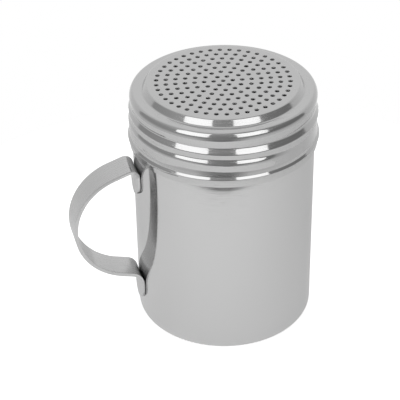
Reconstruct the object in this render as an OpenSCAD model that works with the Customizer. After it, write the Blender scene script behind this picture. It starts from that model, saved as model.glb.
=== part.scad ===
// Hand dredge for dry spices: a drawn steel cup with a spot-welded strap
// handle and a screw-on lid whose flat top is perforated all over.
// Millimetres, +Z up, origin at the centre of the base on the table.

/* [Cup] */
// Outer radius of the drawn body
cup_r = 33.25; // [28:0.25:40]
// Height of the straight wall, from the table to the shoulder
wall_h = 73.2; // [66:0.2:84]
// Thickness of the sheet that the cup and the lid are drawn from
sheet = 0.5; // [0.4:0.05:0.6]
// Outer radius between the wall and the base
base_corner_r = 2.85; // [2:0.05:4]
// Rise of the base panel inside the ring that touches the table
base_rise = 0.25; // [0.1:0.05:0.3]
// Width of the flat ring that touches the table
rest_ring_w = 4; // [3:0.5:6]
// Run of the slope between the resting ring and the raised panel
base_slope_w = 1.6; // [1.4:0.1:3]
// Bending radius at both ends of that slope
base_bend_r = 1; // [0.8:0.1:2]

/* [Neck] */
// Step from the body wall in to the root of the neck's thread
neck_step = 2.15; // [1.9:0.05:2.6]
// Height of the conical shoulder between wall and neck
shoulder_h = 1.2; // [1:0.1:2]
// Bending radius of the shoulder
shoulder_r = 1.2; // [0.9:0.1:1.3]
// Height of the neck, from the top of the wall to the rim
neck_h = 19.3; // [18.4:0.1:21]
// Height of the rolled turns above the root of the neck
neck_turn_h = 0.85; // [0.6:0.05:1]
// Slope of the rolled turns of the neck, in degrees from the wall
neck_turn_a = 30; // [25:1:35]
// Outer radius of the curled rim
rim_curl_r = 0.9; // [0.8:0.05:1]
// Angle that the rim is curled through, in degrees
rim_curl_a = 250; // [200:5:260]

/* [Thread] */
// Distance between the two rolled turns, the same on neck and lid
turn_pitch = 4.4; // [4.2:0.05:4.6]
// Height of the lower turn above the top of the wall
turn_z = 8.2; // [7.8:0.1:8.6]

/* [Lid] */
// Clearance all round between the lid and the cup
lid_gap = 0.3; // [0.25:0.05:0.4]
// Drop of the lid's lip below the top of the wall
lip_drop = 0.8; // [0.6:0.1:1]
// Height of the plain lip under the lowest bead
lip_h = 1.9; // [1.6:0.1:2.2]
// Bulge of the lowest bead, from the lip out to its fold line
hem_bead = 0.95; // [0.8:0.05:1.1]
// Height of the lowest bead's fold line above the lip
hem_bead_h = 1.35; // [1.2:0.05:1.5]
// Rounding radius of the rolled folds
fold_r = 0.75; // [0.65:0.05:0.85]
// Rounding radius of the wider bends: shoulder, top bead and waist
bend_r = 1.2; // [1:0.05:1.4]
// Height of the waist above the fold line of the lowest bead
waist_h = 2.2; // [1.9:0.1:2.4]
// Slope of the upper flank of a lid turn, in degrees from the wall
flank_a = 38; // [35:1:41]
// Slope of the lower flank of a lid turn, in degrees from the wall
under_a = 45; // [42:1:48]
// Bulge of the top bead over the valley under it
top_bead = 0.9; // [0.7:0.05:1]
// Rise of the perforated panel above the lid's shoulder
panel_rise = 2.35; // [2:0.05:3]
// Width of the sloping ring between the bead and the panel's step
ring_w = 3.65; // [3.2:0.05:4.2]
// Fall of the sloping ring over its width
ring_fall = 1.05; // [0.8:0.05:1.3]
// Slope of the panel's step, in degrees from the table
step_a = 46.5; // [42:0.5:52]

/* [Holes] */
// Number of rings of holes round the centre hole
hole_rings = 7; // [5:1:7]
// Distance between neighbouring rings
hole_pitch = 3.42; // [3:0.02:3.5]
// Diameter of each punched hole
hole_d = 1.75; // [1.2:0.05:2]
// Turn of the hole pattern about the lid's axis, in degrees
hole_turn = 6; // [0:1:60]

/* [Handle] */
// Direction of the handle, in degrees from -X towards the front
handle_turn = 15; // [0:1:45]
// Width of the strap
strap_w = 11.4; // [10:0.2:13]
// Thickness of the strap
strap_t = 1.3; // [1.1:0.05:1.5]
// Height where the top leg's outer face meets the wall
top_leg_z = 68.8; // [66:0.2:69]
// Fall of the top leg away from the wall, in degrees
top_leg_a = 18.5; // [17:0.5:20]
// Height where the bottom leg's outer face meets the wall
bottom_leg_z = 20; // [19:0.2:22]
// Rise of the bottom leg away from the wall, in degrees
bottom_leg_a = 15; // [13:0.5:16]
// Distance from the wall to the outermost point of the finger loop
handle_reach = 25; // [24:0.2:26.4]
// Outer radius of the bend above the top foot
top_bend_r = 3; // [2.5:0.1:3.5]
// Outer radius of the bend above the bottom foot
bottom_bend_r = 5; // [4:0.1:5.5]
// Distance from where the top leg meets the wall down to the tip of its foot
top_foot_drop = 13.7; // [12.8:0.1:15]
// Distance from where the bottom leg meets the wall down to the tip of its foot
bottom_foot_drop = 11.8; // [11.4:0.1:13]

/* [Welds] */
// Diameter of a weld nugget
weld_d = 4.2; // [3.6:0.1:4.4]
// Distance between the two nuggets of a foot
weld_pitch = 5.2; // [5:0.1:5.6]
// Height of the nuggets above the centre of the foot's round end
weld_lift = 0.3; // [0:0.1:1]
// Depth that a nugget reaches into the cup's wall
weld_in_cup = 0.25; // [0.2:0.01:0.3]
// Depth that a nugget reaches into the strap
weld_in_strap = 0.8; // [0.6:0.05:0.9]
// Depth of the electrode's dimple over a nugget
dimple_h = 0.15; // [0.1:0.01:0.2]

/* [Hidden] */
$fn = 72;
arc_sag = 0.01;
overshoot = 1;

neck_r = cup_r - neck_step;
neck_crest_r = neck_r + neck_turn_h;
rim_z = wall_h + neck_h;
turn_zs = [wall_h + turn_z, wall_h + turn_z + turn_pitch];

lip_r = cup_r + lid_gap + sheet;
lip_z = wall_h - lip_drop;
valley_r = neck_crest_r + lid_gap + sheet;
bead_r = valley_r + top_bead;
step_r = bead_r - ring_w;
ring_z = rim_z + lid_gap + sheet + ring_fall * (neck_r - step_r) / ring_w;
panel_z = ring_z + panel_rise;
panel_r = step_r - panel_rise / tan(step_a);

foot_r = cup_r + strap_t / 2;
tip_r = strap_w / 2;
top_foot_z = top_leg_z - top_foot_drop;
bottom_foot_z = bottom_leg_z - bottom_foot_drop;
weld_zs = [top_foot_z + tip_r + weld_lift, bottom_foot_z + tip_r + weld_lift];
weld_face = cup_r + weld_in_strap;

// Angle of one chord of an arc of radius r, so that it stays within arc_sag
function chord_a(r) = 2 * acos(1 - arc_sag / r);

// Turning angle from direction a-b to direction b-c, signed, in degrees
function turning(a, b, c) =
    let (u = b - a, v = c - b)
    atan2(u.x * v.y - u.y * v.x, u.x * v.x + u.y * v.y);

// Arc that rounds corner b of the path a-b-c; b holds [x, y, radius]
function corner(a, b, c) =
    let (p = [b.x, b.y], u = p - [a.x, a.y], t = turning([a.x, a.y], p, [c.x, c.y]))
    let (s = sign(t), back = b[2] * tan(abs(t) / 2), d = u / norm(u))
    let (start = p - d * back, centre = start + s * b[2] * [-d.y, d.x])
    let (a0 = atan2(start.y - centre.y, start.x - centre.x))
    let (n = max(1, ceil(abs(t) / chord_a(b[2]))))
    [for (i = [0 : n]) centre + b[2] * [cos(a0 + t * i / n), sin(a0 + t * i / n)]];

// Path through corner points, each rounded to its own radius
function rounded(pts) =
    let (last = len(pts) - 1)
    [for (i = [0 : last])
        each (i == 0 || i == last) ? [[pts[i].x, pts[i].y]]
            : corner(pts[i - 1], pts[i], pts[i + 1])];

// Unit normal on the left of the segment from a to b
function left_of(a, b) = let (d = (b - a) / norm(b - a)) [-d.y, d.x];

// The path moved to its left by d, with mitred corners
function beside(path, d) =
    let (last = len(path) - 1)
    [for (i = [0 : last])
        let (before = left_of(path[max(i - 1, 0)], path[max(i, 1)]))
        let (after = left_of(path[min(i, last - 1)], path[min(i + 1, last)]))
        path[i] + d * (before + after) / (1 + before * after)];

// Closed section of a sheet whose faces lie at a and b to the left of a path
function sheet_section(path, a, b) =
    let (face = beside(path, a), back = beside(path, b), last = len(path) - 1)
    concat(face, [for (i = [last : -1 : 0]) back[i]]);

// How far a fold's corner lies outside its rounded crest
function fold_over(r, a, b) = r * (cos((a - b) / 2) / cos((a + b) / 2) - 1);

// Outer line of the cup, from the middle of the base up to the rim's curl
function cup_line() =
    let (over = fold_over(fold_r, neck_turn_a, neck_turn_a))
    let (out = neck_crest_r + over, run = (out - neck_r) / tan(neck_turn_a))
    let (curl = [neck_r - rim_curl_r, rim_z - rim_curl_r])
    let (ring_in = cup_r - base_corner_r - rest_ring_w)
    concat(
        rounded([
            [0, base_rise],
            [ring_in - base_slope_w, base_rise, base_bend_r],
            [ring_in, 0, base_bend_r],
            [cup_r, 0, base_corner_r],
            [cup_r, wall_h, shoulder_r],
            [neck_r, wall_h + shoulder_h, fold_r],
            for (z = turn_zs)
                each [[neck_r, z - run, fold_r], [out, z, fold_r], [neck_r, z + run, fold_r]],
            [neck_r, curl.y]
        ]),
        [for (t = [chord_a(rim_curl_r) : chord_a(rim_curl_r) : rim_curl_a])
            curl + rim_curl_r * [cos(t), sin(t)]]
    );

// Outer line of the lid, from the middle of the panel down to the lip
function lid_line() =
    let (over = fold_over(fold_r, flank_a, under_a))
    let (deep = turn_pitch / (1 / tan(flank_a) + 1 / tan(under_a)))
    let (fold_in = valley_r - over, fold_out = fold_in + deep)
    let (rise = deep / tan(flank_a), fall = deep / tan(under_a))
    let (hem_z = lip_z + lip_h, waist_r = lip_r - sheet)
    rounded([
        [0, panel_z],
        [panel_r, panel_z, fold_r],
        [step_r, ring_z, bend_r],
        [bead_r, ring_z - ring_fall, bend_r],
        [bead_r, turn_zs[1] + rise + deep, bend_r],
        [fold_in, turn_zs[1] + rise, fold_r],
        [fold_out, turn_zs[1], fold_r],
        [fold_in, turn_zs[1] - fall, fold_r],
        [fold_out, turn_zs[0], fold_r],
        [waist_r, turn_zs[0] - (fold_out - waist_r) / tan(under_a), bend_r],
        [waist_r, hem_z + hem_bead_h + waist_h, bend_r],
        [lip_r + hem_bead, hem_z + hem_bead_h, fold_r],
        [lip_r, hem_z, fold_r],
        [lip_r, lip_z]
    ]);

// Middle line of the strap, from the top foot round the loop to the bottom foot.
// The loop's radius is the one that touches both legs and ends at handle_reach.
function strap_line() =
    let (h = strap_t / 2)
    let (top_z = top_leg_z - h / cos(top_leg_a) - h * tan(top_leg_a))
    let (low_z = bottom_leg_z + h / cos(bottom_leg_a) + h * tan(bottom_leg_a))
    let (reach = (top_z - low_z) / (tan(top_leg_a) + tan(bottom_leg_a)))
    let (wedge_a = (top_leg_a + bottom_leg_a) / 2, tilt_a = (top_leg_a - bottom_leg_a) / 2)
    let (loop_r = (reach + strap_t - handle_reach) / (cos(tilt_a) / sin(wedge_a) - 1))
    rounded([
        [foot_r, top_foot_z + tip_r],
        [foot_r, top_z, top_bend_r - h],
        [foot_r + reach, low_z + reach * tan(bottom_leg_a), loop_r],
        [foot_r, low_z, bottom_bend_r - h],
        [foot_r, bottom_foot_z + tip_r]
    ]);

// Puts its children in the handle's frame: +X away from the wall, +Z up
module handle_frame() {
    rotate([0, 0, 180 + handle_turn]) children();
}

// Tongue-shaped foot with a round tip, lying flat along the wall
module foot(tip_z) {
    n = ceil(180 / chord_a(tip_r));
    tip = [for (i = [0 : n]) tip_r * [-cos(180 * i / n), -sin(180 * i / n)]];
    translate([cup_r, 0, tip_z + tip_r])
        rotate([90, 0, 90])
            linear_extrude(strap_t)
                polygon(concat(tip, [[tip_r, overshoot], [-tip_r, overshoot]]));
}

// The two nuggets of each foot; each reaches from the strap into the wall
module nuggets() {
    handle_frame()
        for (z = weld_zs, side = [-1, 1])
            translate([0, side * weld_pitch / 2, z])
                rotate([0, 90, 0])
                    cylinder(d = weld_d, h = weld_face);
}

// Nuggets trimmed to the depth that they reach into the wall
module trimmed_nuggets() {
    difference() {
        nuggets();
        cylinder(r = cup_r - weld_in_cup, h = wall_h, $fn = 360);
    }
}

module cup() {
    color("lightsteelblue")
        difference() {
            rotate_extrude()
                polygon(sheet_section(cup_line(), 0, sheet));
            trimmed_nuggets();
        }
}

module handle() {
    color("silver")
        difference() {
            handle_frame()
                difference() {
                    union() {
                        rotate([90, 0, 0])
                            linear_extrude(strap_w, center = true)
                                polygon(sheet_section(strap_line(), -strap_t / 2, strap_t / 2));
                        foot(top_foot_z);
                        foot(bottom_foot_z);
                    }
                    for (z = weld_zs, side = [-1, 1])
                        translate([cup_r + strap_t - dimple_h, side * weld_pitch / 2, z])
                            rotate([0, 90, 0])
                                cylinder(d1 = weld_d / 2, d2 = weld_d, h = 2 * dimple_h);
                }
            nuggets();
        }
}

module spot_welds() {
    color("gray") trimmed_nuggets();
}

module lid() {
    color("gainsboro")
        difference() {
            rotate_extrude()
                polygon(sheet_section(lid_line(), -sheet, 0));
            rotate([0, 0, hole_turn])
                for (ring = [0 : hole_rings], i = [0 : max(6 * ring, 1) - 1])
                    rotate([0, 0, i * 360 / max(6 * ring, 1)])
                        translate([ring * hole_pitch, 0, panel_z - sheet - overshoot])
                            cylinder(d = hole_d, h = sheet + 2 * overshoot, $fn = 16);
        }
}

cup();
handle();
spot_welds();
lid();
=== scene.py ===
# %% [markdown]
# # A steel hand dredge
# This lesson dresses a imported CAD model: a cook's dredge for dry spices. The real one has
# a drawn stainless cup, a strap handle spot-welded to its side, and a pressed lid that
# screws on. Everything is in metres, +Z up, with the cup's base centred on the origin. The
# CAD solids give the sizes, and each piece here is a finer skin over one of them.

# %% Load the frame
import math

import bpy
from mathutils import Euler, Matrix, Vector


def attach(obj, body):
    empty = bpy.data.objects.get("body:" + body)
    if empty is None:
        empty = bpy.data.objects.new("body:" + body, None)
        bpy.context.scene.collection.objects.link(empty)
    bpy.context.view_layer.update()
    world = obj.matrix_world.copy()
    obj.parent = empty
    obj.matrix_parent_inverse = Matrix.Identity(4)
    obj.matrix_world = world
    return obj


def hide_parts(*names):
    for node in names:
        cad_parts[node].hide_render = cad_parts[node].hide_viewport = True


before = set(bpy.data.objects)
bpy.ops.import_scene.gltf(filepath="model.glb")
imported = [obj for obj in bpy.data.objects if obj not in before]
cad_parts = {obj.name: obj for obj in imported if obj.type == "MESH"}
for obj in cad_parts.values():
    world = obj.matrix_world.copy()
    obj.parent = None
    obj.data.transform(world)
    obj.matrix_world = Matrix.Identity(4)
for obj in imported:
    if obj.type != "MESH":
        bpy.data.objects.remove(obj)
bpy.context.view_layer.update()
MM = 0.001

# %% [markdown]
# Three of the four pieces are sheet metal, so they share one way of making: draw the
# outer line of the sheet as a chain of edges, sweep it into a skin, and give the skin its
# thickness last. A pressed bend is never sharp, so a line is written as a few corner
# points with a bending radius each, and a small function turns every corner into an arc.

# %% Corner points to a line with rounded bends
LONG_RUN = 1.5   # mm; a straight run longer than this gets an extra row near both its ends
HOLD = 0.25      # mm from the bend to that row, which keeps the run truly straight


def rounded(corners, step):
    """A line in mm whose corners (x, y, radius) are arcs with a point every step degrees."""
    line = [Vector(corners[0][:2])]
    for before, here, after in zip(corners, corners[1:], corners[2:]):
        a, b, c = Vector(before[:2]), Vector(here[:2]), Vector(after[:2])
        into, out = (b - a).normalized(), (c - b).normalized()
        turn = math.atan2(into.x * out.y - into.y * out.x, into.dot(out))
        radius = here[2]
        start = b - into * radius * math.tan(abs(turn) / 2)
        centre = start + math.copysign(radius, turn) * Vector((-into.y, into.x))
        arm, n = start - centre, max(2, math.ceil(math.degrees(abs(turn)) / step))
        for i in range(n + 1):
            line.append(centre + Matrix.Rotation(turn * i / n, 2) @ arm)
    line.append(Vector(corners[-1][:2]))
    held = [line[0]]
    for a, b in zip(line, line[1:]):
        length = (b - a).length
        if length > LONG_RUN:
            held += [a.lerp(b, HOLD / length), a.lerp(b, 1 - HOLD / length)]
        held.append(b)
    return held


# %% A helper that starts a new mesh by one vertex
def first_point(name, point):
    """A new object in edit mode that holds a single selected vertex."""
    if bpy.context.mode != "OBJECT":
        bpy.ops.object.mode_set(mode="OBJECT")
    bpy.ops.object.select_all(action="DESELECT")
    bpy.ops.mesh.primitive_plane_add(size=MM, location=(0, 0, 0))
    obj = bpy.context.object
    obj.name = obj.data.name = name
    bpy.ops.object.mode_set(mode="EDIT")
    bpy.ops.mesh.merge(type="CENTER")
    bpy.ops.transform.translate(value=point)
    return obj


# %% A helper that draws a line of edges by extruding its end point again and again
def draw_line(name, points):
    """A chain of edges through 3-D points in metres; leaves the object in edit mode."""
    obj = first_point(name, points[0])
    for a, b in zip(points, points[1:]):
        bpy.ops.mesh.extrude_region_move(TRANSFORM_OT_translate={"value": b - a})
    return obj


# %% A helper that turns a profile round the cup's axis
SAME = 0.002   # mm; points closer than this are one


def turned(name, line, steps):
    """Spins a profile of (radius, height) points in mm round Z and closes the seam."""
    obj = draw_line(name, [Vector((r * MM, 0, z * MM)) for r, z in line])
    bpy.ops.mesh.select_all(action="SELECT")
    bpy.ops.mesh.spin(steps=steps, angle=math.tau, center=(0, 0, 0), axis=(0, 0, 1))
    bpy.ops.mesh.select_all(action="SELECT")
    bpy.ops.mesh.remove_doubles(threshold=SAME * MM)
    bpy.ops.mesh.normals_make_consistent(inside=False)
    bpy.ops.object.mode_set(mode="OBJECT")
    print(name, "skin:", len(obj.data.vertices), "vertices")
    return obj


# %% A helper that gives a skin its thickness and soft shading
SOFT_BEND = math.radians(40)   # faces that meet at less than this are shaded as one surface


def sheet_metal(obj, thickness, offset, edge, sharp=50, rings=3):
    """Solidifies a skin and eases its edges that are sharper than sharp degrees, in mm."""
    bpy.ops.object.select_all(action="DESELECT")
    obj.select_set(True)
    bpy.context.view_layer.objects.active = obj
    wall = obj.modifiers.new("wall", "SOLIDIFY")
    wall.thickness, wall.offset, wall.use_even_offset = thickness * MM, offset, True
    bpy.ops.object.modifier_apply(modifier="wall")
    if edge:
        ease = obj.modifiers.new("eased edge", "BEVEL")
        ease.width, ease.segments = edge * MM, rings
        ease.angle_limit = math.radians(sharp)
        bpy.ops.object.modifier_apply(modifier="eased edge")
    bpy.ops.object.shade_smooth_by_angle(angle=SOFT_BEND)
    print(obj.name, "finished:", len(obj.data.polygons), "faces")


# %% [markdown]
# The screw turns are the one thing here that isn't round about the axis. A rolled thread is
# a single bead that winds down round the lid, so its height depends on the angle. One
# function gives how far the metal bulges at any angle and height. It is used twice: full
# depth on the lid, and lower on the neck of the cup, so that the lid still clears it.

# %% The sizes of the rolled thread
PITCH = 3.9                 # mm that the bead drops in one turn
CREST_Z = 85.7              # mm, height of the upper turn at the front
RISE, FALL = 1.9, 2.9       # mm of bead above and below its crest
DRAWN_OUT = 1.1             # mm more of it below the crest on the handle's side,
DRAWN_IN, DRAWN_OFF = (-110, -80), (-24, -40)   # degrees over which that comes and goes
START, END = -290, 406      # degrees from the front where the bead comes and goes
COMING, GOING = 60, 28      # degrees that it takes to do so
FOLD, WIDENS = 0.15, 0.07   # mm of roundness at the crest, and more for each mm dropped
SHALLOWS = 0.065            # part of its depth that it loses for each mm dropped
FILLET = 0.2                # lower part of each flank, which curves into the wall
BLEND = 1.2                 # mm over which the rolling fades at the ends of its zone
print("thread:", round((END - START) / 360, 2), "turns")


# %% The bead's section, and where it runs
def smooth(value, low, high):
    """0 at low to 1 at high, with a soft start and end."""
    t = min(1, max(0, (value - low) / (high - low)))
    return t * t * (3 - 2 * t)


def bead(u, fold, fall):
    """Height of the bead at u mm above its crest, as a part of its depth."""
    away = math.sqrt(u * u + fold * fold) - fold
    t = max(0, 1 - away / (RISE if u > 0 else fall))
    return t * t / (2 * FILLET) if t < FILLET else t - FILLET / 2


def thread(angle, z):
    """How far the thread bulges, in parts of its depth; angle from the front in degrees."""
    fall = FALL + DRAWN_OUT * smooth(angle, *DRAWN_IN) * smooth(angle, *DRAWN_OFF)
    most = 0
    for turn in (-360, 0, 360):
        way = angle + turn
        dropped = PITCH * way / 360
        depth = (1 - SHALLOWS * dropped) * (smooth(way, START, START + COMING)
                                            * smooth(way, END, END - GOING))
        fold = FOLD + max(0, WIDENS * dropped)
        most = max(most, depth * bead(z - CREST_Z + dropped, fold, fall))
    return most


# %% A helper that rolls the thread into a skin
def roll_thread(obj, depth, low, high):
    """Bulges the skin between two heights out to the rolled thread; sizes in mm."""
    for v in obj.data.vertices:
        x, y, z = v.co / MM
        if low < z < high:
            zone = smooth(z, low, low + BLEND) * smooth(z, high, high - BLEND)
            bulge = zone * depth * thread(math.degrees(math.atan2(x, -y)), z)
            scale = 1 + bulge / math.hypot(x, y)
            v.co.x, v.co.y = v.co.x * scale, v.co.y * scale
    print(obj.name, "is rolled from", low, "to", high, "mm")


# %% [markdown]
# The cup is drawn from 0.5 mm stainless sheet. A revolved skin shows best what deep drawing
# gives: one wall without a seam, a rounded foot, and at the top a shoulder that steps in to
# the neck. The mouth is curled inwards so that no raw edge is left to cut a hand.

# %% The cup's line: radius, height and bend radius in mm, from the base to the neck
CUP_R, SHEET = 33.25, 0.5
NECK_R, NECK_FROM, NECK_TO, ROWS_PER_MM = 31.1, 76, 91, 5
cup_line = rounded([(0, 0.25), (24.8, 0.25, 1), (26.4, 0, 1), (CUP_R, 0, 2.85),
                    (CUP_R, 73.2, 1.2), (NECK_R, 74.4, 0.75), (NECK_R, NECK_FROM)], step=6)
cup_line += [Vector((NECK_R, row / ROWS_PER_MM))
             for row in range(NECK_FROM * ROWS_PER_MM + 1, NECK_TO * ROWS_PER_MM)]

# %% The curled mouth ends the line
RIM_Z, CURL_R, CURL_TURN, CURL_STEP = 92.5, 0.9, 240, 15
for turn in range(0, CURL_TURN + 1, CURL_STEP):
    at = math.radians(turn)
    cup_line.append(Vector((NECK_R - CURL_R + CURL_R * math.cos(at),
                            RIM_Z - CURL_R + CURL_R * math.sin(at))))
print("the cup's line has", len(cup_line), "points")

# %% The cup
CUP_STEPS = 192
NECK_DEPTH, NECK_ZONE = 0.85, (78, 90.6)   # mm, depth of the neck's thread and its heights
cup = turned("drawn_cup", cup_line, CUP_STEPS)
roll_thread(cup, NECK_DEPTH, *NECK_ZONE)
sheet_metal(cup, SHEET, -1, 0)
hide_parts("cup")
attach(cup, "cup")

# %% [markdown]
# The handle is one strap of 11.4 by 1.3 mm bar, bent over a former. It is swept in its own
# plane: a row of edges as wide as the strap is extruded along the bent line, and the row
# narrows at both ends for the round tongues. The plane is then turned to the side of the
# cup. Thickness and eased edges come last, as they do when a strap is tumbled.

# %% The handle's bent line, in its own plane: distance from the axis and height, in mm
STRAP_W, STRAP_T = 11.4, 1.3
HALF, TIP = STRAP_T / 2, STRAP_W / 2
FOOT_R = CUP_R + HALF
UPPER_END, LOWER_END = 55.1, 8.2            # where the two tongues end
TOP_Z, TOP_A = 68.8, math.radians(18.5)     # the run that leaves the upper foot, and its fall
LOW_Z, LOW_A = 20.0, math.radians(15)       # the run that leaves the lower foot, and its rise
TOP_BEND, FAR_BEND, LOW_BEND = 3, 22.69, 5  # outer radii of the three bends
top_corner = TOP_Z - HALF / math.cos(TOP_A) - HALF * math.tan(TOP_A)
low_corner = LOW_Z + HALF / math.cos(LOW_A) + HALF * math.tan(LOW_A)
reach = (top_corner - low_corner) / (math.tan(TOP_A) + math.tan(LOW_A))
far_corner = (FOOT_R + reach, low_corner + reach * math.tan(LOW_A), FAR_BEND - HALF)
bent = rounded([(FOOT_R, UPPER_END), (FOOT_R, top_corner, TOP_BEND - HALF), far_corner,
                (FOOT_R, low_corner, LOW_BEND - HALF), (FOOT_R, LOWER_END)], step=4)


# %% A helper that finds places along a line
ROUNDING = 1e-9   # mm; the last stop may lie this far past the line's end


def along(line, stops):
    """Points of a line at given distances from its start."""
    points, travelled, stops = [], 0, list(stops)
    for a, b in zip(line, line[1:]):
        length = (b - a).length
        while stops and stops[0] <= travelled + length + ROUNDING:
            points.append(a.lerp(b, (stops.pop(0) - travelled) / length))
        travelled += length
    return points


# %% Even steps along the strap, close together round both tongues
EVEN_ROWS = 210
strap_length = sum((b - a).length for a, b in zip(bent, bent[1:]))
tips = [TIP * (1 - math.cos(math.radians(a))) for a in range(4, 91, 6)]
middle = [TIP + (strap_length - 2 * TIP) * i / EVEN_ROWS for i in range(1, EVEN_ROWS)]
stops = tips + middle + [strap_length - t for t in reversed(tips)]
rows = along(bent, stops)
print("strap length in mm:", round(strap_length, 1), "rows:", len(rows))

# %% Sweep the strap
COLUMNS = 24
handle = first_point("strap_handle", Vector((0, 0, 0)))
for _ in range(COLUMNS):
    bpy.ops.mesh.extrude_region_move(
        TRANSFORM_OT_translate={"value": (0, STRAP_W / COLUMNS * MM, 0)})
bpy.ops.mesh.select_all(action="SELECT")
bpy.ops.transform.translate(value=Vector((rows[0].x, -TIP, rows[0].y)) * MM)
for a, b in zip(rows, rows[1:]):
    step = Vector((b.x - a.x, 0, b.y - a.y)) * MM
    bpy.ops.mesh.extrude_region_move(TRANSFORM_OT_translate={"value": step})
bpy.ops.mesh.select_all(action="SELECT")
bpy.ops.mesh.normals_make_consistent(inside=False)
bpy.ops.object.mode_set(mode="OBJECT")
print("swept strap:", len(handle.data.polygons), "faces")

# %% Round the tongues and give the strap its thickness
EASED = 0.3   # mm, roundness of the tumbled edges
for v in handle.data.vertices:
    x, _, z = v.co / MM
    row = min(range(len(rows)), key=lambda i: (rows[i].x - x) ** 2 + (rows[i].y - z) ** 2)
    inside = min(stops[row], strap_length - stops[row], TIP)
    v.co.y *= math.sqrt(TIP ** 2 - (TIP - inside) ** 2) / TIP
sheet_metal(handle, STRAP_T, 0, EASED)

# %% [markdown]
# Spot welding leaves its marks on a strap. Two electrodes squeeze it against the cup while
# the current flows: they dent the outer face, bend the flat foot to the round wall and
# thin it a little. All of that is small, so the points of the finished strap are moved.

# %% Press the four weld dimples into the outer face of the feet
DIMPLE_R, DIMPLE_DEEP = 2.3, 0.15
WELD_APART, WELD_HEIGHTS = 5.2, (61.1, 14.2)
WELDS = [(side * WELD_APART / 2, height) for side in (-1, 1) for height in WELD_HEIGHTS]
OUTER_FROM, OUTER_TO = FOOT_R + 0.4, FOOT_R + 1   # mm from the axis: the outer face only
for v in handle.data.vertices:
    x, y, z = v.co / MM
    if OUTER_FROM < x < OUTER_TO:
        for across, height in WELDS:
            away = math.hypot(y - across, z - height)
            v.co.x -= DIMPLE_DEEP * MM * smooth(away, DIMPLE_R, 0)
print("weld dimples:", len(WELDS))

# %% Press the feet to the wall
TAKEN_UP = 0.6             # part of the wall's curve that a foot takes up
THINNED = 0.3              # mm that it gets thinner
NEAR = STRAP_T + 1.5       # mm from the wall within which the strap is pressed
UPPER_FROM, UPPER_TO = (50, 54), (67.5, 63.5)   # mm of height over which it comes and goes
LOWER_TO = 20, 16
for v in handle.data.vertices:
    x, y, z = v.co / MM
    if x < CUP_R + NEAR:
        foot = max(smooth(z, *UPPER_FROM) * smooth(z, *UPPER_TO), smooth(z, *LOWER_TO))
        curve = CUP_R - math.sqrt(CUP_R ** 2 - y ** 2)
        outer = min(1, max(0, (x - CUP_R) / STRAP_T))
        v.co.x -= foot * (TAKEN_UP * curve + THINNED * outer) * MM
print("least distance of the strap from the axis in mm:",
      round(min(v.co.x for v in handle.data.vertices) / MM, 2))

# %% Turn the strap's plane to the side of the cup
HANDLE_AT = math.radians(195)   # from +X: on the left, and a little to the front
bpy.ops.object.select_all(action="DESELECT")
handle.select_set(True)
handle.rotation_euler = Euler((0, 0, HANDLE_AT))
bpy.ops.object.transform_apply(location=True, rotation=True, scale=True)
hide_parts("handle")
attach(handle, "cup")

# %% [markdown]
# The lid's top is a flat panel punched with 169 holes: one in the middle and seven rings
# of 6, 12, 18 ... 42. Cutting that many holes out of a solid is slow and leaves messy
# faces. Drawing the rims as circles and filling the space between them is quick and exact,
# and the sheet's thickness then gives each hole its wall.

# %% The rims of the panel and its holes
HOLE_R, HOLE_PITCH, HOLE_TURN, HOLE_SIDES = 0.875, 3.42, 6, 20
RINGS = 8                    # the middle hole counts as the first
PANEL_R, PANEL_Z = 25.6, 95.95
LID_STEPS = 240
bpy.ops.object.select_all(action="DESELECT")
bpy.ops.mesh.primitive_circle_add(vertices=LID_STEPS, radius=PANEL_R * MM,
                                  location=(0, 0, PANEL_Z * MM))
lid = bpy.context.object
lid.name = lid.data.name = "punched_lid"
bpy.ops.object.mode_set(mode="EDIT")
for ring in range(RINGS):
    count, away = max(1, 6 * ring), ring * HOLE_PITCH
    for i in range(count):
        at = math.radians(HOLE_TURN + 360 * i / count)
        spot = (away * math.cos(at) * MM, away * math.sin(at) * MM, PANEL_Z * MM)
        bpy.ops.mesh.primitive_circle_add(vertices=HOLE_SIDES, radius=HOLE_R * MM,
                                          location=spot)

# %% Fill the space between the rims
bpy.ops.mesh.select_all(action="SELECT")
bpy.ops.mesh.fill(use_beauty=True)
bpy.ops.object.mode_set(mode="OBJECT")
print("punched panel:", len(lid.data.polygons), "faces")

# %% [markdown]
# The lid's side is pressed into a stack of beads: the sloping step round the panel, a
# shoulder, the top bead, the rolled thread and the hem bead above a plain lip. It is the
# same revolved line as the cup's, with close rows where the thread will be rolled.

# %% The lid's line: radius, height and bend radius in mm, from the panel down to the lip
line = rounded([(PANEL_R, PANEL_Z), (27.5, PANEL_Z, 0.8), (29.14, 93.74, 0.8),
                (32.75, 93.62, 1.35), (33.85, 91.85, 3.2), (33.45, 89.0, 1),
                (33.1, 87.8, 0.5), (33.75, 81.8, 3), (34.2, 78.0, 2), (34.19, 76.75, 0.12),
                (34.9, 75.86, 0.5), (34.28, 74.8, 0.4), (34.2, 72.7)], step=6)


# %% Close rows where the thread will be rolled
def close_rows(points, low, high, gap):
    """Splits the edges of a line between two heights so that none is longer than gap."""
    fine = [points[0]]
    for a, b in zip(points, points[1:]):
        parts = math.ceil((b - a).length / gap) if low < (a.y + b.y) / 2 < high else 1
        fine += [a.lerp(b, i / parts) for i in range(1, parts + 1)]
    return fine


CLOSE_FROM, CLOSE_TO, CLOSE_GAP = 77.0, 89.5, 0.25
LID_DEPTH, LID_ZONE = 1.0, (77.0, 90.2)   # mm, depth of the lid's thread and its heights
side = turned("lid_side", close_rows(line, CLOSE_FROM, CLOSE_TO, CLOSE_GAP), LID_STEPS)
roll_thread(side, LID_DEPTH, *LID_ZONE)

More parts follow.
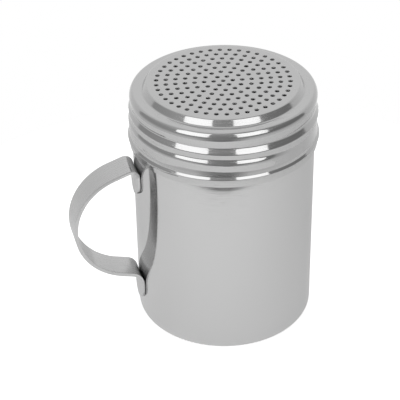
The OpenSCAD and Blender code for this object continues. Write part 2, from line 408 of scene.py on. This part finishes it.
# %% Join the side to the panel and give the sheet its wall
SAME_RIM = 0.005   # mm; points of panel and side closer than this are one
HOLE_EASED = 0.1   # mm, roundness that the punch leaves at the rims of the holes
bpy.ops.object.select_all(action="DESELECT")
side.select_set(True)
lid.select_set(True)
bpy.context.view_layer.objects.active = lid
bpy.ops.object.join()
bpy.ops.object.transform_apply(location=True, rotation=True, scale=True)
bpy.ops.object.mode_set(mode="EDIT")
bpy.ops.mesh.select_all(action="SELECT")
bpy.ops.mesh.remove_doubles(threshold=SAME_RIM * MM)
bpy.ops.mesh.normals_make_consistent(inside=False)
bpy.ops.object.mode_set(mode="OBJECT")
sheet_metal(lid, SHEET, -1, HOLE_EASED, sharp=80, rings=2)
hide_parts("lid")
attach(lid, "lid")

# %% [markdown]
# All of it is one metal, 18/8 stainless steel, and what tells the pieces apart is only how
# their surface was left: the cup satin from fine belt polishing, the strap a little
# rougher, the lid bright from the press. Steel is a metal, so the colour is its reflection
# and the roughness decides how sharp the room shows in it.


# %% Two helpers for materials
def hex_linear(code):
    """An sRGB hex colour as linear red, green, blue, alpha."""
    parts = [int(code[i:i + 2], 16) / 255 for i in (0, 2, 4)]
    return [c / 12.92 if c <= 0.04045 else ((c + 0.055) / 1.055) ** 2.4 for c in parts] + [1]


def add_node(tree, kind, inputs=None, **settings):
    """Adds a node. An input is a value, or a socket or a node (its first output) to link."""
    node = tree.nodes.new(kind)
    for key, value in settings.items():
        setattr(node, key, value)
    for key, value in (inputs or {}).items():
        if isinstance(value, bpy.types.Node):
            value = value.outputs[0]
        if isinstance(value, bpy.types.NodeSocket):
            tree.links.new(value, node.inputs[key])
        else:
            node.inputs[key].default_value = value
    return node


# %% [markdown]
# A belt leaves two things on steel: fine lines, rougher than the ground between them, and a
# faint haze where it pressed harder. So one noise is stretched along the belt's run and
# cut into lines, and a second, much larger one clouds the roughness and lifts the surface
# by a few thousandths of a millimetre, which makes mirror images waver.

# %% One recipe for stainless sheet, with the finish as its settings
LINES_AT, LINES_SOFT = 0.62, 0.04    # noise level where a line starts, and its soft border
CLOUDS = 70.0                        # patches of haze per metre, about 14 mm each
HAZE_FROM, HAZE_TO = 0.35, 0.65      # noise levels of the clearest and the haziest patch,
HAZE_LOW, HAZE_HIGH = 0.85, 1.25     # and what they make of the roughness


def stainless(name, colour, polish, scratch, share, grain_mm, depth, turn=0):
    """Steel with polished ground and rougher brush lines; share is the lines' part."""
    mat = bpy.data.materials.new(name)
    mat.use_nodes = True
    tree = mat.node_tree
    shader = tree.nodes["Principled BSDF"]
    shader.inputs["Base Color"].default_value = hex_linear(colour)
    shader.inputs["Metallic"].default_value = 1
    where = add_node(tree, "ShaderNodeTexCoord").outputs["Object"]
    size = add_node(tree, "ShaderNodeMapping",
                    {"Vector": where, "Scale": [g * MM for g in grain_mm],
                     "Rotation": (0, 0, math.radians(turn))}, vector_type="TEXTURE")
    grain = add_node(tree, "ShaderNodeTexNoise", {"Vector": size, "Scale": 1.0, "Detail": 2.0})
    lines_from = LINES_AT - share / 2
    lines = add_node(tree, "ShaderNodeMapRange",
                     {"Value": grain.outputs["Fac"], "From Min": lines_from,
                      "From Max": lines_from + LINES_SOFT, "To Min": polish,
                      "To Max": scratch})
    cloud = add_node(tree, "ShaderNodeTexNoise",
                     {"Vector": where, "Scale": CLOUDS, "Detail": 3.0}).outputs["Fac"]
    haze = add_node(tree, "ShaderNodeMapRange",
                    {"Value": cloud, "From Min": HAZE_FROM, "From Max": HAZE_TO,
                     "To Min": HAZE_LOW, "To Max": HAZE_HIGH})
    rough = add_node(tree, "ShaderNodeMath", {0: lines, 1: haze}, operation="MULTIPLY")
    bump = add_node(tree, "ShaderNodeBump",
                    {"Height": cloud, "Strength": 1.0, "Distance": depth * MM})
    tree.links.new(rough.outputs[0], shader.inputs["Roughness"])
    tree.links.new(bump.outputs[0], shader.inputs["Normal"])
    return mat


# %% The finishes
# Satin from a fine belt that ran round the cup: its lines are too fine to tell apart, as on
# the real one, and only soften the room that shows in the wall
satin_cup = stainless("stainless_satin_cup", "C6C6C6", polish=0.05, scratch=0.14,
                      share=0.16, grain_mm=(5, 5, 0.06), depth=0.005)
# Tumbled after bending, with the bar's lines along its length: a silky streaked grey
tumbled_strap = stainless("stainless_tumbled_strap", "C2C2C2", polish=0.16, scratch=0.28,
                          share=0.3, grain_mm=(12, 0.12, 12), depth=0.003, turn=15)
# Bright from the polished press tool: crisp windows in every bead
bright_lid = stainless("stainless_bright_lid", "BEBEBE", polish=0.06, scratch=0.2,
                       share=0.16, grain_mm=(5, 5, 0.06), depth=0.003)
# Torn by the punch: the walls of the holes are matt
sheared_edge = stainless("stainless_sheared_edge", "C6C6C6", polish=0.7, scratch=0.8,
                         share=0.3, grain_mm=(1, 1, 1), depth=0.003)
# Dulled by the heat of welding: the upper bend has lost its mirror
heated_bend = stainless("stainless_heated_bend", "C6C6C6", polish=0.5, scratch=0.6,
                        share=0.3, grain_mm=(12, 0.12, 12), depth=0.003, turn=15)
# Melted and set again: dark grey and pitted
weld_metal = stainless("stainless_fused_weld", "8C8C8C", polish=0.35, scratch=0.5,
                       share=0.3, grain_mm=(0.5, 0.5, 0.5), depth=0.1)
for piece, finish in ((cup, satin_cup), (handle, tumbled_strap), (lid, bright_lid),
                      (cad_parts["spot_welds"], weld_metal)):
    piece.data.materials.clear()
    piece.data.materials.append(finish)
    print(piece.name, "wears", finish.name)

# %% The upper bend beside the weld, which the heat left dull
HEATED_Z, HEATED_OUT = 64.5, 2.2   # mm above the base, and out from the cup's wall
handle.data.materials.append(heated_bend)
dull = [face for face in handle.data.polygons if face.center.z > HEATED_Z * MM
        and math.hypot(*face.center.xy) < (CUP_R + HEATED_OUT) * MM]
for face in dull:
    face.material_index = 1
print("dull faces at the upper bend:", len(dull))

# %% The walls of the holes, which the punch left torn and dull
UPRIGHT = 0.5   # a face whose normal rises less than this stands upright
lid.data.materials.append(sheared_edge)
torn = [face for face in lid.data.polygons
        if abs(face.normal.z) < UPRIGHT and math.hypot(*face.center.xy) < PANEL_R * MM]
for face in torn:
    face.material_index = 1
print("faces in the walls of the holes:", len(torn))

# %% [markdown]
# Polished steel has hardly a colour of its own, so the studio is half of the picture. The
# dredge stands on a round white board. Two tall soft windows of light stand at the front,
# left and right, in a dim room that is lighter on the left and towards the ceiling. White
# paper closes the room behind and above, and some light comes from low down at both sides.
# All of it is painted into the world by direction, which keeps the windows' edges clean.

# %% The room: azimuth from the front and elevation of a direction, in degrees
world = bpy.data.worlds.new("studio")
bpy.context.scene.world = world
world.use_nodes = True
tree = world.node_tree
tree.nodes.clear()
MATH, RANGE = "ShaderNodeMath", "ShaderNodeMapRange"
way = add_node(tree, "ShaderNodeTexCoord").outputs["Generated"]
x, y, z = add_node(tree, "ShaderNodeSeparateXYZ", {0: way}).outputs
forward = add_node(tree, MATH, {0: y, 1: -1.0}, operation="MULTIPLY")
round_it = add_node(tree, MATH, {0: x, 1: forward}, operation="ARCTAN2")
azimuth = add_node(tree, MATH, {0: round_it}, operation="DEGREES")
up_it = add_node(tree, MATH, {0: z}, operation="ARCSINE")
elevation = add_node(tree, MATH, {0: up_it}, operation="DEGREES")

# %% Angles away from the front, and the lean of the windows' outer edges
# The windows' boxes are tipped towards the table, so those edges lean out as they rise
LEAN = 0.19      # degrees sideways for each degree up
GAP_AT = -3.0    # azimuth of the middle of the dim gap between the windows
off_front = add_node(tree, MATH, {0: azimuth}, operation="ABSOLUTE")
past_gap = add_node(tree, MATH, {0: azimuth, 1: GAP_AT}, operation="SUBTRACT")
off_gap = add_node(tree, MATH, {0: past_gap}, operation="ABSOLUTE")
lean_left = add_node(tree, MATH, {0: elevation, 1: LEAN, 2: azimuth},
                     operation="MULTIPLY_ADD")
lean_right = add_node(tree, MATH, {0: elevation, 1: -LEAN, 2: azimuth},
                      operation="MULTIPLY_ADD")

# %% Straight ramps of light: an angle, its two ends, and the level at each end
part = {}
for name, angle, low, high, at_low, at_high in (
        ("front_wall", azimuth, -60, 40, 0.41, 0.24),
        ("to_ceiling", elevation, 15, 80, 1.0, 1.75),
        ("to_floor", elevation, -35, -27, 0.6, 1.0),
        ("low_light", elevation, -25, 0, 0.76, 0.42),
        ("beside", off_gap, 10, 34, 0.0, 1.0),
        ("paper", off_front, 100, 170, 0.68, 0.92)):
    part[name] = add_node(tree, RANGE, {"Value": angle, "From Min": low, "From Max": high,
                                        "To Min": at_low, "To Max": at_high})

# %% Soft borders: an angle, where it passes from 0 to 1, and over how many degrees
# A width below zero makes a border that falls from 1 to 0. A leaning border's place is the
# one that it has at the level of the horizon.
for name, angle, at, wide in (
        ("below", elevation, -3, -8),
        ("behind_left", azimuth, -114, -5), ("behind_right", azimuth, 106, 5),
        ("overhead", elevation, 88, 4),
        ("sill", elevation, 8, 3), ("lintel", elevation, 57, -3),
        ("left_outer", lean_left, -54.2, 2), ("left_inner", azimuth, -18.4, -2),
        ("right_inner", azimuth, 14.7, 2), ("right_outer", lean_right, 48.7, -2)):
    part[name] = add_node(tree, RANGE, {"Value": angle, "From Min": at - wide / 2,
                                        "From Max": at + wide / 2},
                          interpolation_type="SMOOTHSTEP")

# %% Put the parts together: the dim walls, and the masks of what lies over them
for name, operation, first, *others in (
        ("walls", "MULTIPLY", "front_wall", "to_ceiling", "to_floor"),
        ("low_sides", "MULTIPLY", "beside", "below"),
        ("backdrop", "MAXIMUM", "behind_left", "behind_right", "overhead"),
        ("left_window", "MULTIPLY", "left_outer", "left_inner", "sill", "lintel"),
        ("right_window", "MULTIPLY", "right_inner", "right_outer", "sill", "lintel")):
    part[name] = part[first]
    for other in others:
        part[name] = add_node(tree, MATH, {0: part[name], 1: part[other]},
                              operation=operation)

# %% Lay them over each other; the camera itself sees plain white
WINDOW_LIGHT, WHITE = 1.87, 1.0
seen_by = add_node(tree, "ShaderNodeLightPath")
room = part["walls"]
for mask, level in ((part["low_sides"], part["low_light"]),
                    (part["backdrop"], part["paper"]),
                    (part["left_window"], WINDOW_LIGHT), (part["right_window"], WINDOW_LIGHT),
                    (seen_by.outputs["Is Camera Ray"], WHITE)):
    room = add_node(tree, "ShaderNodeMix", {"Factor": mask, "A": room, "B": level},
                    data_type="FLOAT")
glow = add_node(tree, "ShaderNodeBackground", {"Color": (1, 1, 1, 1), "Strength": room})
add_node(tree, "ShaderNodeOutputWorld", {"Surface": glow})
print("room painted with", len(tree.nodes), "nodes")

# %% [markdown]
# The board under the dredge must look white both to the camera and in the steel, yet keep a
# soft shadow. A white matt surface alone turns grey in a dim room, so a share of its own
# light is added for camera and mirror rays only, and the room's light stays as it is.

# %% The round white board
BOARD_R, BOARD_BACK, BOARD_UNDER = 149, 7.5, 0.05   # mm; it lies just under the base
bpy.ops.object.select_all(action="DESELECT")
bpy.ops.mesh.primitive_circle_add(vertices=128, radius=BOARD_R * MM, fill_type="NGON",
                                  location=(0, BOARD_BACK * MM, -BOARD_UNDER * MM))
board = bpy.context.object
board.name = "white_board"
bpy.ops.object.transform_apply(location=True, rotation=True, scale=True)

# %% Its paper's added glow: painted light, brightest in front, a little to the left, and dimmer round the back
FOR_CAMERA, FOR_MIRRORS = 0.7, 0.18       # its own light; the second is the mean round it
BRIGHTEST = math.radians(-14)             # azimuth from the front
paper = bpy.data.materials.new("white_board_painted_glow")
paper.use_nodes = True
tree = paper.node_tree
tree.nodes.clear()
seen_by = add_node(tree, "ShaderNodeLightPath")
place = add_node(tree, "ShaderNodeTexCoord").outputs["Object"]
outward = add_node(tree, "ShaderNodeVectorMath", {0: place}, operation="NORMALIZE")
front = add_node(tree, "ShaderNodeVectorMath",
                 {0: outward, 1: (math.sin(BRIGHTEST), -math.cos(BRIGHTEST), 0)},
                 operation="DOT_PRODUCT").outputs["Value"]
# painted light: the glow that the steel mirrors is made brighter towards the front
bright = add_node(tree, MATH, {0: front, 1: FOR_MIRRORS, 2: FOR_MIRRORS},
                  operation="MULTIPLY_ADD")
mirrored = add_node(tree, MATH, {0: seen_by.outputs["Is Glossy Ray"], 1: bright},
                    operation="MULTIPLY")
share = add_node(tree, MATH, {0: seen_by.outputs["Is Camera Ray"], 1: FOR_CAMERA, 2: mirrored},
                 operation="MULTIPLY_ADD")
matt = add_node(tree, "ShaderNodeBsdfDiffuse", {"Color": hex_linear("E8E8E8")})
own = add_node(tree, "ShaderNodeEmission", {"Strength": share})
total = add_node(tree, "ShaderNodeAddShader", {0: matt, 1: own})
add_node(tree, "ShaderNodeOutputMaterial", {"Surface": total})
board.data.materials.append(paper)
print("the board wears", paper.name)

# %% [markdown]
# The camera looks down at a little over a third of a right angle, from about half a metre
# and through a long lens, which is how small kitchenware is usually shown: the lid opens to
# an oval, and the sides stay almost parallel.

# %% Where the camera stands and looks
TILT, ROLL, AWAY = math.radians(33.5), -0.01653, 518.548 * MM
AIM = Vector((-8.7799, 0, 44.9635)) * MM
ahead = Vector((0, math.cos(TILT), -math.sin(TILT)))
above = Vector((0, math.sin(TILT), math.cos(TILT)))
aside = Vector((1, 0, 0))
right = math.cos(ROLL) * aside + math.sin(ROLL) * above
top = -math.sin(ROLL) * aside + math.cos(ROLL) * above
eye = AIM - AWAY * ahead
print("camera at, in metres:", [round(c, 3) for c in eye])

# %% The camera
PIXELS, FOCAL = 400, 1377.88   # the picture's width and the focal length, both in pixels
SENSOR = 36                    # mm
lens = bpy.data.cameras.new("camera")
lens.lens, lens.sensor_width = FOCAL * SENSOR / PIXELS, SENSOR
lens.shift_x, lens.shift_y = -0.5 / PIXELS, 0.5 / PIXELS
lens.clip_start, lens.clip_end = 0.01, 20
camera = bpy.data.objects.new("camera", lens)
bpy.context.scene.collection.objects.link(camera)
pose = Matrix((right, top, -ahead)).transposed().to_4x4()
camera.matrix_world = Matrix.Translation(eye) @ pose
bpy.context.scene.camera = camera
print("lens in mm:", round(lens.lens, 1))

# %% Plain colours, and enough bounces for the mirror images between strap, cup and beads
BOUNCES = 12
scene = bpy.context.scene
scene.view_settings.view_transform = "Standard"
scene.cycles.max_bounces = scene.cycles.glossy_bounces = BOUNCES

# %% Update the scene
bpy.context.view_layer.update()
